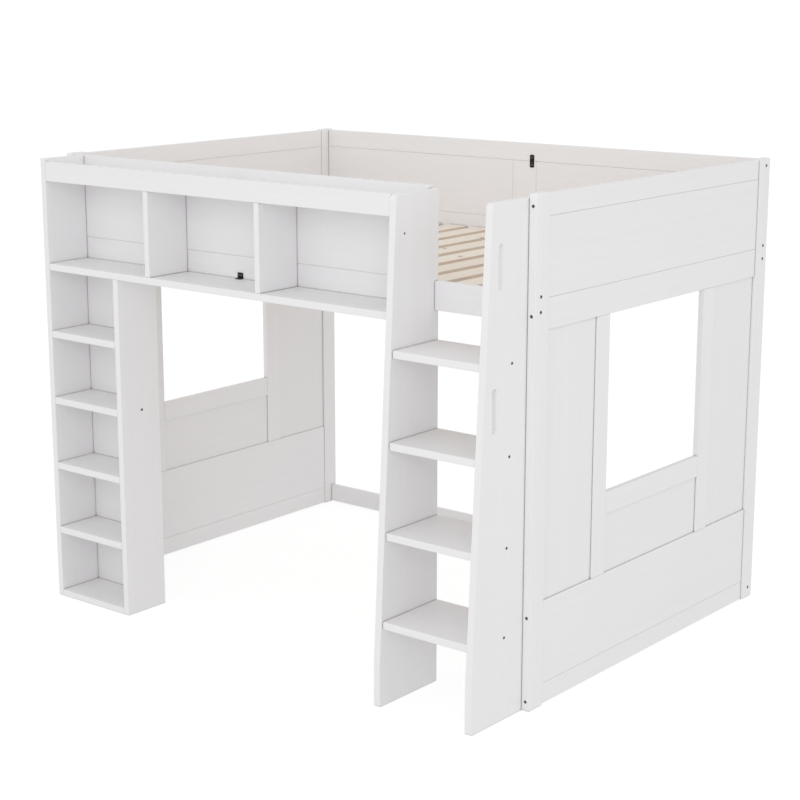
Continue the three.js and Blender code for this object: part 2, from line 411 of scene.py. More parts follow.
@dataclass(frozen=True)
class BarePine:
    """Planed pine with growth rings, fibres and a few knots."""

    name: str
    grain: Grain
    board_width: float = SLAT_PITCH
    pale: Triple = (0.97, 0.885, 0.79)
    ring: Triple = (0.83, 0.715, 0.585)
    knot: Triple = (0.34, 0.18, 0.085)
    # Painted shade: the slats' sides, which stand in the shaded gaps between slats, are
    # darkened to this colour.
    gap_shade: Triple = (0.72, 0.60, 0.485)
    gap_shade_from: float = 43.2 * MM
    gap_shade_full: float = 44.6 * MM
    knots_per_metre: float = 4.2
    heart_edge: tuple[float, float] = (0.022, 0.05)
    halo_edge: tuple[float, float] = (0.03, 0.17)
    stretch: float = 0.045
    wander: Grit = Grit(9.0, 2.0, 0.6)
    fibre: Grit = Grit(420.0, 3.0)
    rings_per_metre: float = 30.0
    ring_twist: float = 7.0
    ring_detail_scale: float = 0.7
    ring_contrast: float = 1.6
    relief: float = 0.5
    relief_depth: float = 0.5 * MM
    reflection: float = 0.35

    def build(self) -> bpy.types.Material:
        """Makes the material.

        Returns:
            The material, with its own shade on each slat.
        """
        g = Graph(self.name)
        here = g.places()
        across = g.node("ShaderNodeSeparateXYZ", {}, {0: here}, out=0)
        board = (across / self.board_width).floor()
        own = g.node("ShaderNodeTexWhiteNoise", {"noise_dimensions": "1D"}, {"W": board})
        spot = g.node(
            "ShaderNodeTexVoronoi",
            {"voronoi_dimensions": "2D"},
            {"Vector": here, "Scale": self.knots_per_metre},
        )
        heart = 1.0 - spot.between(*self.heart_edge)
        halo = 1.0 - spot.between(*self.halo_edge)
        drawn = g.places(self.grain.stretch(self.stretch))
        wander = g.noise(drawn, self.wander)
        rings = g.node(
            "ShaderNodeTexWave",
            {"wave_type": "BANDS", "bands_direction": "Y" if self.grain is Grain.X else "X"},
            {
                "Vector": drawn,
                "Scale": self.rings_per_metre,
                "Distortion": self.ring_twist,
                "Detail": 2.0,
                "Detail Scale": self.ring_detail_scale,
                "Phase Offset": own * 40.0 + wander * 9.0 + halo * 7.0,
            },
        )
        fibres = g.noise(drawn, self.fibre)
        bands = rings**self.ring_contrast * 0.55
        tone = bands + (fibres - 0.5) * 0.55 + own * 0.28 + halo * 0.22 - 0.08
        wood = g.blend(heart, g.blend(tone, self.pale, self.ring), self.knot)
        # Painted shade: each slat's sides are darkened as if shaded in the gaps between slats.
        if self.grain is Grain.Y:
            off_centre = across - (board + 0.5) * self.board_width
            squared = off_centre * off_centre
            side_shade = squared.between(self.gap_shade_from**2, self.gap_shade_full**2)
            wood = g.blend(side_shade, wood, self.gap_shade)
        height = fibres * 0.6 + rings * 0.3 + heart * 0.3
        return g.surface(
            {
                "Base Color": wood,
                "Roughness": 0.66 - rings * 0.1 - heart * 0.12,
                "Normal": g.raised(height, self.relief, self.relief_depth),
                "Specular IOR Level": self.reflection,
            }
        )


@dataclass(frozen=True)
class Plated:
    """Plated or blackened steel with fine rubbing marks."""

    name: str
    colour: Triple
    rubbed: Triple
    roughness: float = 0.4
    metallic: float = 0.9
    streak_stretch: float = 0.12
    streak: Grit = Grit(2600.0)
    blotch: Grit = Grit(160.0, 3.0)
    relief: float = 0.3
    relief_depth: float = 0.1 * MM

    def build(self) -> bpy.types.Material:
        """Makes the material.

        Returns:
            The material, a little brighter where it was handled.
        """
        g = Graph(self.name)
        streaks = g.noise(g.places(Grain.Z.stretch(self.streak_stretch)), self.streak)
        blotch = g.noise(g.places(), self.blotch)
        rub = (blotch * 0.7 + streaks * 0.5).between(0.5, 0.85)
        return g.surface(
            {
                "Base Color": g.blend(rub, self.colour, self.rubbed),
                "Metallic": self.metallic,
                "Roughness": self.roughness + (streaks - 0.5) * 0.25,
                "Normal": g.raised(streaks, self.relief, self.relief_depth),
            }
        )


@dataclass(frozen=True)
class WovenTape:
    """Flat polyester webbing with a plain weave along X."""

    name: str
    thread: Triple = (0.78, 0.77, 0.74)
    gap: Triple = (0.5, 0.49, 0.46)
    pitch: float = 1.6 * MM
    fuzz: Grit = Grit(1500.0)
    relief: float = 0.8
    relief_depth: float = 0.4 * MM

    def build(self) -> bpy.types.Material:
        """Makes the material.

        Returns:
            The woven material.
        """
        g = Graph(self.name)
        here = g.places()
        # At scale 1 the bands of a Wave node are 2 pi / 20 apart.
        wave_scale = math.tau / 20.0 / self.pitch
        warp, weft = (
            g.node(
                "ShaderNodeTexWave",
                {"wave_type": "BANDS", "bands_direction": direction},
                {"Vector": here, "Scale": wave_scale, "Distortion": 0.0},
            )
            for direction in ("X", "Y")
        )
        weave = warp * weft + (1.0 - warp) * (1.0 - weft)
        fuzz = g.noise(here, self.fuzz)
        return g.surface(
            {
                "Base Color": g.blend(weave * 0.8 + fuzz * 0.2, self.gap, self.thread),
                "Roughness": 0.8 + fuzz * 0.15,
                "Normal": g.raised(weave + fuzz * 0.3, self.relief, self.relief_depth),
            }
        )


@dataclass(frozen=True)
class StudioFloor:
    """A pale sweep that glows a little, so that shadows on it stay light."""

    name: str
    tint: float
    glow: float
    dust: Grit = Grit(3.0)
    dust_tint: float = 0.98
    roughness: float = 0.9
    reflection: float = 0.1

    def build(self) -> bpy.types.Material:
        """Makes the material.

        Returns:
            The floor material.
        """
        g = Graph(self.name)
        dust = g.noise(g.places(), self.dust)
        dim, full = ((share * self.tint,) * 3 for share in (self.dust_tint, 1.0))
        return g.surface(
            {
                "Base Color": g.blend(dust, dim, full),
                "Roughness": self.roughness,
                "Specular IOR Level": self.reflection,
                "Emission Color": (*WHITE, OPAQUE),
                "Emission Strength": self.glow,
            }
        )


class Palette:
    """Every finish of the bed, built once."""

    def __init__(self) -> None:
        """Builds the materials."""
        self.paint = {g: PaintedWood(f"white_paint_{g.name}", g).build() for g in Grain}
        self.panel = {
            g: PaintedWood(
                f"panel_paint_{g.name}",
                g,
                light=(0.915, 0.907, 0.913),
                shade=(0.880, 0.872, 0.878),
                roughness=0.5,
                relief=0.3,
            ).build()
            for g in Grain
        }
        self.slats = BarePine("slat_pine", Grain.Y).build()
        self.beam = BarePine("beam_pine", Grain.X, knots_per_metre=3.0).build()
        self.steel = Plated("black_steel", (0.022, 0.022, 0.024), (0.09, 0.09, 0.095)).build()
        self.zinc = Plated(
            "zinc_bolt", (0.17, 0.17, 0.18), (0.42, 0.42, 0.43), roughness=0.34
        ).build()
        self.socket = Plated(
            "socket_shadow", (0.03, 0.03, 0.032), (0.07, 0.07, 0.07), roughness=0.6
        ).build()
        self.tape = WovenTape("slat_tape").build()


# ------------------------------------------------------------------ mesh makers


def mesh_object(name: str, build: Callable[[bmesh.types.BMesh], None]) -> bpy.types.Object:
    """Makes an object from a bmesh.

    Args:
        name: the piece's name.
        build: fills the bmesh, in the bed's frame.

    Returns:
        The linked object.
    """
    shape = bmesh.new()
    build(shape)
    bmesh.ops.recalc_face_normals(shape, faces=shape.faces)
    mesh = bpy.data.meshes.new(name)
    shape.to_mesh(mesh)
    shape.free()
    made = bpy.data.objects.new(name, mesh)
    bpy.context.scene.collection.objects.link(made)
    return made


def facing(place: Vector, direction: Vector) -> Matrix:
    """A matrix that turns +Z to a direction and moves the origin to a place.

    Args:
        place: where the origin goes.
        direction: where +Z points.

    Returns:
        The matrix.
    """
    turn = direction.to_track_quat("Z", "Y").to_matrix().to_4x4()
    return Matrix.Translation(place) @ turn


def ring_of(
    shape: bmesh.types.BMesh,
    place: Matrix,
    radius: float,
    height: float,
    sides: int,
    corner: float = 0.0,
) -> list[bmesh.types.BMVert]:
    """Adds one ring of points round the Z axis.

    Args:
        shape: the bmesh to add to.
        place: the ring's own frame.
        radius: the ring's radius.
        height: its height along Z.
        sides: how many points it has.
        corner: 1 bends the ring to a hexagon's outline, 0 leaves it round.

    Returns:
        The points, in order.
    """
    points = []
    half_flat = math.pi / 6
    for i in range(sides):
        angle = math.tau * i / sides
        from_middle = (angle % (2 * half_flat)) - half_flat
        flat = math.cos(half_flat) / math.cos(from_middle)
        reach = radius * (1.0 + corner * (flat - 1.0))
        at = Vector((reach * math.cos(angle), reach * math.sin(angle), height))
        points.append(shape.verts.new(place @ at))
    return points


class HeadSlot(IntEnum):
    """The material slots of a bolt or screw head."""

    METAL = 0
    RECESS = 1


def bridge(
    shape: bmesh.types.BMesh,
    low: Sequence[bmesh.types.BMVert],
    high: Sequence[bmesh.types.BMVert],
    slot: int = HeadSlot.METAL,
) -> None:
    """Adds the faces between two rings.

    Args:
        shape: the bmesh to add to.
        low: the first ring.
        high: the second ring.
        slot: the material slot of the faces.
    """
    count = len(low)
    for i in range(count):
        j = (i + 1) % count
        face = shape.faces.new((low[i], low[j], high[j], high[i]))
        face.material_index = slot
        face.smooth = True


def add_strip(
    shape: bmesh.types.BMesh, sections: Sequence[Sequence[bmesh.types.BMVert]]
) -> None:
    """Adds the faces of a closed strip whose sections are given in order.

    Args:
        shape: the bmesh to add to.
        sections: the points of each section, all with as many points.
    """
    for low, high in zip(sections, sections[1:]):
        bridge(shape, low, high)
    shape.faces.new(sections[0])
    shape.faces.new(list(reversed(sections[-1])))


@dataclass(frozen=True)
class SocketBolt:
    """A low bolt head with a chamfered rim and a hexagon socket."""

    radius: float = 5.6 * MM
    height: float = 0.9 * MM
    socket_radius: float = 2.9 * MM
    sunk: float = 0.3 * MM
    chamfer: float = 0.4 * MM
    rim: float = 0.9 * MM
    lip: float = 0.35 * MM
    sides: int = 30

    def add(self, shape: bmesh.types.BMesh, place: Vector, direction: Vector) -> None:
        """Adds one bolt head.

        Args:
            shape: the bmesh to add to.
            place: the middle of the head on the board's face.
            direction: out of the board.
        """
        base = facing(place, direction)
        round_rings = [
            (self.radius, -self.sunk),
            (self.radius, 0.35 * self.height),
            (self.radius - self.chamfer, 0.85 * self.height),
            (self.radius - self.rim, self.height),
        ]
        hexagons = [
            (self.socket_radius + self.lip, self.height),
            (self.socket_radius, 0.8 * self.height),
            (self.socket_radius, 0.08 * self.height),
        ]
        rings = [ring_of(shape, base, r, z, self.sides) for r, z in round_rings]
        rings += [ring_of(shape, base, r, z, self.sides, 1.0) for r, z in hexagons]
        mouth = len(round_rings)
        for i, (low, high) in enumerate(zip(rings, rings[1:])):
            bridge(shape, low, high, HeadSlot.METAL if i < mouth else HeadSlot.RECESS)
        shape.faces.new(rings[-1]).material_index = HeadSlot.RECESS
        shape.faces.new(list(reversed(rings[0])))


@dataclass(frozen=True)
class CrossScrew:
    """A countersunk wood screw head with a cross recess."""

    radius: float = 3.6 * MM
    height: float = 0.45 * MM
    sunk: float = 0.2 * MM
    flat_share: float = 0.86
    recess_share: float = 0.6
    core_share: float = 0.12
    arm_share: float = 0.42
    arm_sharpness: int = 8
    sides: int = 24

    def add(self, shape: bmesh.types.BMesh, place: Vector, direction: Vector) -> None:
        """Adds one screw head.

        Args:
            shape: the bmesh to add to.
            place: the middle of the head on the surface.
            direction: out of the surface.
        """
        base = facing(place, direction)
        rim = ring_of(shape, base, self.radius, -self.sunk, self.sides)
        edge = ring_of(shape, base, self.radius, 0.5 * self.height, self.sides)
        flat = ring_of(shape, base, self.flat_share * self.radius, self.height, self.sides)
        inner = ring_of(shape, base, self.recess_share * self.radius, self.height, self.sides)
        bridge(shape, rim, edge)
        bridge(shape, edge, flat)
        bridge(shape, flat, inner)
        low = []
        for i in range(self.sides):
            angle = math.tau * i / self.sides
            arm = max(abs(math.cos(angle)), abs(math.sin(angle))) ** self.arm_sharpness
            reach = self.radius * (self.core_share + self.arm_share * arm)
            at = Vector((reach * math.cos(angle), reach * math.sin(angle), 0.1 * self.height))
            low.append(shape.verts.new(base @ at))
        bridge(shape, inner, low, HeadSlot.RECESS)
        shape.faces.new(low).material_index = HeadSlot.RECESS
        shape.faces.new(list(reversed(rim)))


# ------------------------------------------------------------------ assemblies


@dataclass
class Assembly:
    """A group of boards that are dressed together, with the pieces fixed to them."""

    palette: Palette
    edge_radius: float = 1.3 * MM
    heavy_edge_radius: float = 2.0 * MM
    thin_edge_radius: float = 0.4 * MM
    weld_gap: float = 0.01 * MM
    flat_within: float = math.radians(0.5)
    edge_from: float = math.radians(35)
    pieces: list[str] = field(default_factory=list)

    def dress(
        self, node: str, material: bpy.types.Material, radius: float | None = None
    ) -> None:
        """Gives a board of the frame its finish and its eased edges.

        Args:
            node: the board's name.
            material: its finish.
            radius: radius of its edges, or None for the assembly's own.
        """
        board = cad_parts[node]
        board.data.materials.clear()
        board.data.materials.append(material)
        weld = board.modifiers.new("weld", "WELD")
        weld.merge_threshold = self.weld_gap
        flat = board.modifiers.new("flat", "DECIMATE")
        flat.decimate_type = "DISSOLVE"
        flat.angle_limit = self.flat_within
        ease = board.modifiers.new("ease", "BEVEL")
        ease.width = self.edge_radius if radius is None else radius
        ease.segments = 3
        ease.limit_method = "ANGLE"
        ease.angle_limit = self.edge_from
        ease.harden_normals = False
        self.shade_flats(board)
        self.pieces.append(node)

    @staticmethod
    def shade_flats(piece: bpy.types.Object) -> None:
        """Keeps wide faces flat in shading and lets the eased edges turn softly."""
        shade = piece.modifiers.new("shade", "WEIGHTED_NORMAL")
        shade.keep_sharp = False
        shade.weight = 100

    def adopt(
        self,
        piece: bpy.types.Object,
        slot: str,
        materials: Sequence[bpy.types.Material],
    ) -> bpy.types.Object:
        """Takes a new piece into the bed.

        Args:
            piece: the piece, in place.
            slot: not used.
            materials: its materials, in slot order.

        Returns:
            The piece.
        """
        for material in materials:
            piece.data.materials.append(material)
        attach(piece, BODY)
        self.pieces.append(piece.name)
        return piece

    def fasten(
        self,
        name: str,
        head: SocketBolt | CrossScrew,
        places: Sequence[tuple[Vector, Vector]],
    ) -> None:
        """Adds a set of bolt or screw heads as one piece.

        Args:
            name: the piece's name.
            head: the kind of head.
            places: the middle of each head and the way that it faces.
        """

        def build(shape: bmesh.types.BMesh) -> None:
            """Adds every head of the set."""
            for place, direction in places:
                head.add(shape, place, direction)

        piece = mesh_object(name, build)
        self.adopt(piece, "steel", [self.palette.zinc, self.palette.socket])

    def report(self) -> None:
        """Logs what the assembly holds."""
        for piece in self.pieces:
            log.info("%s: %s", type(self).__name__, piece)


class Side(Enum):
    """The two ends of the bed."""

    LEFT = -1
    RIGHT = 1

    @property
    def word(self) -> str:
        """The word that the names of this end begin with."""
        return self.name.lower()


@dataclass
class EndFrame(Assembly):
    """One panelled end of the bed with its two posts and their bolts."""

    side: Side = Side.LEFT
    bolt_inset: float = 28 * MM
    frame_bolt_heights: tuple[float, ...] = (1.616, 1.280, 0.313, 0.032)
    rail_bolt_heights: tuple[float, ...] = (1.339, 1.291)
    back_rail_bolt_heights: tuple[float, ...] = (1.627, 0.040)
    bolt: SocketBolt = SocketBolt()

    def build(self) -> None:
        """Dresses the boards and adds the bolts."""
        paint, panel = self.palette.paint, self.palette.panel
        word = self.side.word
        for part in ("front_post", "back_post"):
            self.dress(f"{word}_{part}", paint[Grain.Z], self.heavy_edge_radius)
        for part in ("window_stile_front", "window_stile_back"):
            self.dress(f"{word}_{part}", paint[Grain.Z])
        for part in (
            "top_rail",
            "guard_panel",
            "mid_rail",
            "window_sill",
            "lower_panel",
            "bottom_rail",
        ):
            self.dress(f"{word}_{part}", paint[Grain.Y])
        for part in ("infill_front", "infill_back"):
            self.dress(f"{word}_{part}", panel[Grain.Z], self.thin_edge_radius)
        self.dress(f"{word}_under_sill_panel", panel[Grain.Y], self.thin_edge_radius)
        self._add_bolts()
        self.report()

    def _add_bolts(self) -> None:
        """Adds the bolt heads on the faces of both posts."""
        out = Vector((self.side.value, 0, 0))
        for part, way in (("front_post", -1), ("back_post", 1)):
            low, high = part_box(f"{self.side.word}_{part}")
            middle = (low.x + high.x) / 2
            face_y = low.y if way < 0 else high.y
            outer_x = high.x if self.side is Side.RIGHT else low.x
            facing_y = Vector((0, way, 0))
            heads = [(Vector((middle, face_y, z)), facing_y) for z in self.frame_bolt_heights]
            inset_y = face_y - way * self.bolt_inset
            heights = list(self.rail_bolt_heights)
            if part == "back_post":
                heights += self.back_rail_bolt_heights
            heads += [(Vector((outer_x, inset_y, z)), out) for z in heights]
            self.fasten(f"{self.side.word}_{part}_bolts", self.bolt, heads)


@dataclass
class BackSide(Assembly):
    """The back guard with its joining plate, the side rail and the low stretcher."""

    plate_width: float = 20 * MM
    plate_thickness: float = 2.0 * MM
    plate_height: float = 50 * MM
    plate_corner: float = 4 * MM
    plate_corner_steps: int = 4
    plate_inset: float = 20 * MM
    screw_step: float = 15 * MM

    def build(self) -> None:
        """Dresses the boards and adds the joining plate."""
        for part in ("top_rail", "guard_left", "guard_right", "side_rail", "bottom_rail"):
            self.dress(f"back_{part}", self.palette.paint[Grain.X])
        self.dress("back_center_stile", self.palette.paint[Grain.Z])
        stile_low, stile_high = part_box("back_center_stile")
        rail_low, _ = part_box("back_top_rail")
        self._add_plate(Vector((stile_high.x - self.plate_inset, stile_low.y, rail_low.z)))
        self.report()

    def _add_plate(self, joint: Vector) -> None:
        """Adds the black plate across the joint under the top rail.

        Args:
            joint: the middle of the plate on the guard's inner face.
        """
        corner = self.plate_corner
        reach_x = self.plate_width / 2 - corner
        reach_z = self.plate_height / 2 - corner
        face_y = joint.y - self.plate_thickness

        def build(shape: bmesh.types.BMesh) -> None:
            """Adds the plate with round corners and eased edges."""
            points = []
            for quarter, (way_x, way_z) in enumerate(((1, 1), (-1, 1), (-1, -1), (1, -1))):
                for step in range(self.plate_corner_steps + 1):
                    angle = math.pi / 2 * (quarter + step / self.plate_corner_steps)
                    x = joint.x + way_x * reach_x + corner * math.cos(angle)
                    z = joint.z + way_z * reach_z + corner * math.sin(angle)
                    points.append((x, z))
            rear = [shape.verts.new((x, joint.y, z)) for x, z in points]
            front = [shape.verts.new((x, face_y, z)) for x, z in points]
            shape.faces.new(rear)
            shape.faces.new(list(reversed(front)))
            for i in range(len(points)):
                shape.faces.new((rear[i - 1], rear[i], front[i], front[i - 1]))
            middle_y = (joint.y + face_y) / 2
            rim = [e for e in shape.edges if all(v.co.y < middle_y for v in e.verts)]
            bmesh.ops.bevel(shape, geom=rim, offset=0.5 * MM, segments=2, affect="EDGES")

        plate = mesh_object("joining_plate", build)
        self.adopt(plate, "steel", [self.palette.steel])
        heads = [
            (Vector((joint.x, face_y, joint.z + way * self.screw_step)), Vector((0, -1, 0)))
            for way in (-1, 1)
        ]
        self.fasten("joining_plate_screws", CrossScrew(), heads)


@dataclass
class FrontSide(Assembly):
    """The front guard and the side rail that the ladder stile divides."""

    def build(self) -> None:
        """Dresses the boards."""
        for node in ("front_guard_board", "front_side_rail", "ladder_side_rail"):
            self.dress(node, self.palette.paint[Grain.X])
        self.report()


@dataclass
class SlattedBase(Assembly):
    """Ledgers, centre beam, sixteen slats and the webbing that spaces them."""

    slat_width: float = 90 * MM
    slat_thickness: float = 18 * MM
    slat_pitch: float = SLAT_PITCH
    slat_count: int = 16
    slat_edge: float = 2.5 * MM
    slat_sections: int = 14
    slat_bow: float = 0.5 * MM
    slat_lean: float = 0.6 * MM
    slat_screw_inset: float = 14 * MM
    tape_width: float = 30 * MM
    tape_inset: float = 330 * MM
    tape_thickness: float = 1.4 * MM
    tape_sag: float = 1.1 * MM
    tape_sag_steps: int = 6
    tape_hold: float = 8 * MM
    staple_wire: float = 0.5 * MM
    staple_crown: float = 10 * MM
    ledger_screw_pitch: float = 255 * MM
    seed: int = 11

    def build(self) -> None:
        """Dresses ledgers and beam, and makes the slats, webbing, staples and screws."""
        self.dress("front_slat_ledger", self.palette.paint[Grain.X])
        self.dress("back_slat_ledger", self.palette.paint[Grain.X])
        self.dress("center_beam", self.palette.beam, self.heavy_edge_radius)
        low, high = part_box("slat_roll")
        rng = random.Random(self.seed)
        first = -self.slat_pitch * (self.slat_count - 1) / 2
        centres = [first + i * self.slat_pitch for i in range(self.slat_count)]
        for number, centre in enumerate(centres, 1):
            slat = self._slat(f"slat_{number:02d}", centre, low.y, high.y, high.z, rng)
            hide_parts("slat_roll")
        underside = high.z - self.slat_thickness
        for word, start in (
            ("front", low.y + self.tape_inset),
            ("back", high.y - self.tape_inset - self.tape_width),
        ):
            self._tape(f"{word}_slat_tape", start, centres, underside)
            self._staples(f"{word}_slat_staples", start, centres, underside)
        heads = [
            (Vector((x, y, high.z)), Vector((0, 0, 1)))
            for x in (centres[0], centres[-1])
            for y in (low.y + self.slat_screw_inset, high.y - self.slat_screw_inset)
        ]
        self.fasten("slat_end_screws", CrossScrew(), heads)
        self._ledger_screws()
        self.report()

    def _slat(
        self,
        name: str,
        centre: float,
        front: float,
        back: float,
        top: float,
        rng: random.Random,
    ) -> bpy.types.Object:
        """Makes one slat: a planed strip with round edges and a slight bow.

        Args:
            name: the slat's name.
            centre: its middle along x.
            front: its front end along y.
            back: its back end along y.
            top: the height of its top face.
            rng: where its bow and shift come from.

        Returns:
            The slat.
        """
        bow = rng.uniform(-self.slat_bow, 0.0)
        lean = rng.uniform(-self.slat_lean, self.slat_lean)
        half = self.slat_width / 2

        def build(shape: bmesh.types.BMesh) -> None:
            """Adds the strip as sections along y, then eases its edges."""
            sections = []
            for i in range(self.slat_sections + 1):
                share = i / self.slat_sections
                y = front + (back - front) * share
                x = centre + lean * (share - 0.5)
                upper = top + bow * math.sin(math.pi * share)
                lower = upper - self.slat_thickness
                corners = ((-half, lower), (half, lower), (half, upper), (-half, upper))
                sections.append([shape.verts.new((x + dx, y, z)) for dx, z in corners])
            add_strip(shape, sections)
            bmesh.ops.recalc_face_normals(shape, faces=shape.faces)
            sharp = [e for e in shape.edges if e.calc_face_angle(0.0) > math.radians(40)]
            bmesh.ops.bevel(shape, geom=sharp, offset=self.slat_edge, segments=3,
                            profile=0.5, affect="EDGES")
            for face in shape.faces:
                face.smooth = True

        slat = mesh_object(name, build)
        self.shade_flats(slat)
        return self.adopt(slat, "pine", [self.palette.slats])

    def _tape(self, name: str, start: float, centres: Sequence[float], under: float) -> None:
        """Makes a webbing strip that hangs a little between the slats.

        Args:
            name: the strip's name.
            start: its near edge along y.
            centres: the middle of each slat along x.
            under: the height of the slats' underside.
        """
        held = self.slat_width / 2 - self.tape_hold
        gap = self.slat_pitch - 2 * held
        line = []
        for centre in centres:
            line += [(centre - held, 0.0), (centre + held, 0.0)]
            if centre != centres[-1]:
                for step in range(1, self.tape_sag_steps):
                    share = step / self.tape_sag_steps
                    sag = self.tape_sag * math.sin(math.pi * share)
                    line.append((centre + held + gap * share, -sag))

        def build(shape: bmesh.types.BMesh) -> None:
            """Adds the strip's sections along x."""
            end = start + self.tape_width
            sections = []
            for x, rise in line:
                upper = under + rise
                lower = upper - self.tape_thickness
                corners = ((start, lower), (end, lower), (end, upper), (start, upper))
                sections.append([shape.verts.new((x, y, z)) for y, z in corners])
            add_strip(shape, sections)

        tape = mesh_object(name, build)
        crease = tape.modifiers.new("crease", "BEVEL")
        crease.width = 0.3 * MM
        crease.segments = 2
        crease.angle_limit = math.radians(40)
        crease.limit_method = "ANGLE"
        self.adopt(tape, "pine", [self.palette.tape])

    def _staples(self, name: str, start: float, centres: Sequence[float], under: float) -> None:
        """Makes the wire staples that hold a strip to every slat.

        Args:
            name: the piece's name.
            start: the strip's near edge along y.
            centres: the middle of each slat along x.
            under: the height of the slats' underside.
        """
        crown, wire = self.staple_crown, self.staple_wire
        # Each bend is a share of the crown along x and of the wire's radius along z.
        bend = ((-0.5, 0.6), (-0.47, 0.0), (-0.4, -0.5), (0.4, -0.5), (0.47, 0.0), (0.5, 0.6))
        z = under - self.tape_thickness

        def build(shape: bmesh.types.BMesh) -> None:
            """Adds two round wire crowns on each slat."""
            for centre in centres:
                for share in (0.28, 0.72):
                    y = start + self.tape_width * share
                    sections = []
                    for dx, dz in bend:
                        middle = Vector((centre + dx * crown, y, z + dz * wire))
                        place = facing(middle, Vector((1, 0, 0)))
                        sections.append(ring_of(shape, place, wire, 0.0, sides=8))
                    add_strip(shape, sections)

        staples = mesh_object(name, build)
        self.adopt(staples, "steel", [self.palette.zinc])

    def _ledger_screws(self) -> None:
        """Adds the screws that hold each ledger to its side rail."""
        for node, way in (("front_slat_ledger", 1), ("back_slat_ledger", -1)):
            low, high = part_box(node)
            face = high.y if way > 0 else low.y
            middle = (low.z + high.z) / 2
            count = int((high.x - low.x) // self.ledger_screw_pitch)
            step = (high.x - low.x) / (count + 1)
            heads = [
                (Vector((low.x + step * (i + 1), face, middle)), Vector((0, way, 0)))
                for i in range(count)
            ]
            self.fasten(f"{node}_screws", CrossScrew(), heads)


@dataclass
class CubbyShelf(Assembly):
    """The three open bays in front of the guard, with the tray on top of them."""

    bracket_thickness: float = 2.5 * MM
    bracket_edge_radius: float = 0.5 * MM
    bracket_screw: CrossScrew = CrossScrew(radius=2.8 * MM, height=0.5 * MM)

    def build(self) -> None:
        """Dresses the boards and the two steel angles."""
        for node in ("cubby_bottom_board", "cubby_fascia", "cubby_top_board"):
            self.dress(node, self.palette.paint[Grain.X])
        for node in ("cubby_divider_left", "cubby_divider_right"):
            self.dress(node, self.palette.paint[Grain.Z])
        for word in ("lower", "upper"):
            self._bracket(word)
        self.report()

    def _bracket(self, word: str) -> None:
        """Dresses a steel angle and adds the screws in both of its legs.

        Args:
            word: tells this angle from the other.
        """
        node = f"{word}_corner_bracket"
        self.dress(node, self.palette.steel, self.bracket_edge_radius)
        low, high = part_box(node)
        thickness = self.bracket_thickness
        foot_middle = (low.y + high.y - thickness) / 2
        leg_middle = (low.z + thickness + high.z) / 2
        heads = []
        for share in (0.27, 0.73):
            x = low.x + (high.x - low.x) * share
            on_shelf = Vector((x, foot_middle, low.z + thickness))
            on_guard = Vector((x, high.y - thickness, leg_middle))
            heads += [(on_shelf, Vector((0, 0, 1))), (on_guard, Vector((0, -1, 0)))]
        self.fasten(f"{node}_screws", self.bracket_screw, heads)


@dataclass
class Bookcase(Assembly):
    """The tower of five bays at the left end."""

    bolt_share: float = 0.55
    bolt: SocketBolt = SocketBolt(radius=5.0 * MM)

    def build(self) -> None:
        """Dresses the boards and adds the bolt through the middle shelf."""
        for node in ("bookcase_left_side", "bookcase_right_side"):
            self.dress(node, self.palette.paint[Grain.Z])
        self.dress("bookcase_back_panel", self.palette.panel[Grain.Z], self.thin_edge_radius)
        for node in ("bookcase_bottom_board", *(f"bookcase_shelf_{i}" for i in range(1, 5))):
            self.dress(node, self.palette.paint[Grain.X])
        low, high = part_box("bookcase_shelf_3")
        outer_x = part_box("bookcase_right_side")[1].x
        y = low.y + (high.y - low.y) * self.bolt_share
        place = Vector((outer_x, y, (low.z + high.z) / 2))
        self.fasten("bookcase_side_bolt", self.bolt, [(place, Vector((1, 0, 0)))])
        self.report()


@dataclass
class Ladder(Assembly):
    """Two stiles that are also legs, with four flat treads."""

    tread_bolt_share: float = 0.54
    tread_bolt: SocketBolt = SocketBolt(radius=5.0 * MM)
    guard_bolt_reach: float = 142 * MM
    guard_bolt_height: float = 1.517
    guard_bolt: SocketBolt = SocketBolt(3.6 * MM, 0.8 * MM, 1.9 * MM)

    def build(self) -> None:
        """Dresses stiles and treads and adds the bolts."""
        for node in ("ladder_left_stile", "ladder_right_stile"):
            self.dress(node, self.palette.paint[Grain.Z], self.heavy_edge_radius)
        left_low, left_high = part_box("ladder_left_stile")
        right_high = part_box("ladder_right_stile")[1]
        leftward, rightward = Vector((-1, 0, 0)), Vector((1, 0, 0))
        right_heads, left_heads = [], []
        for number in range(1, 5):
            node = f"ladder_tread_{number}"
            self.dress(node, self.palette.paint[Grain.X], self.heavy_edge_radius)
            low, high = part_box(node)
            y = low.y + (high.y - low.y) * self.tread_bolt_share
            z = (low.z + high.z) / 2
            right_heads.append((Vector((right_high.x, y, z)), rightward))
            left_heads.append((Vector((left_low.x, y, z)), leftward))
        self.fasten("ladder_right_bolts", self.tread_bolt, right_heads)
        self.fasten("ladder_left_bolts", self.tread_bolt, left_heads)
        guard_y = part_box("right_front_post")[0].y - self.guard_bolt_reach
        guard_place = Vector((left_high.x, guard_y, self.guard_bolt_height))
        self.fasten("ladder_guard_bolt", self.guard_bolt, [(guard_place, rightward)])
        self.report()


# ------------------------------------------------------------------ studio


@dataclass
class Lamp:
    """A square soft lamp that looks at a point."""

    name: str
    place: Triple
    target: Triple
    size: float
    power: float
    tint: Triple = WHITE

    def build(self) -> None:
        """Adds the lamp."""
        light = bpy.data.lights.new(self.name, "AREA")
        light.shape = "SQUARE"
        light.size = self.size
        light.energy = self.power
        light.color = self.tint
        lamp = bpy.data.objects.new(self.name, light)
        lamp.location = self.place
        aim = Vector(self.target) - Vector(self.place)
        lamp.rotation_euler = aim.to_track_quat("-Z", "Y").to_euler()
        bpy.context.scene.collection.objects.link(lamp)


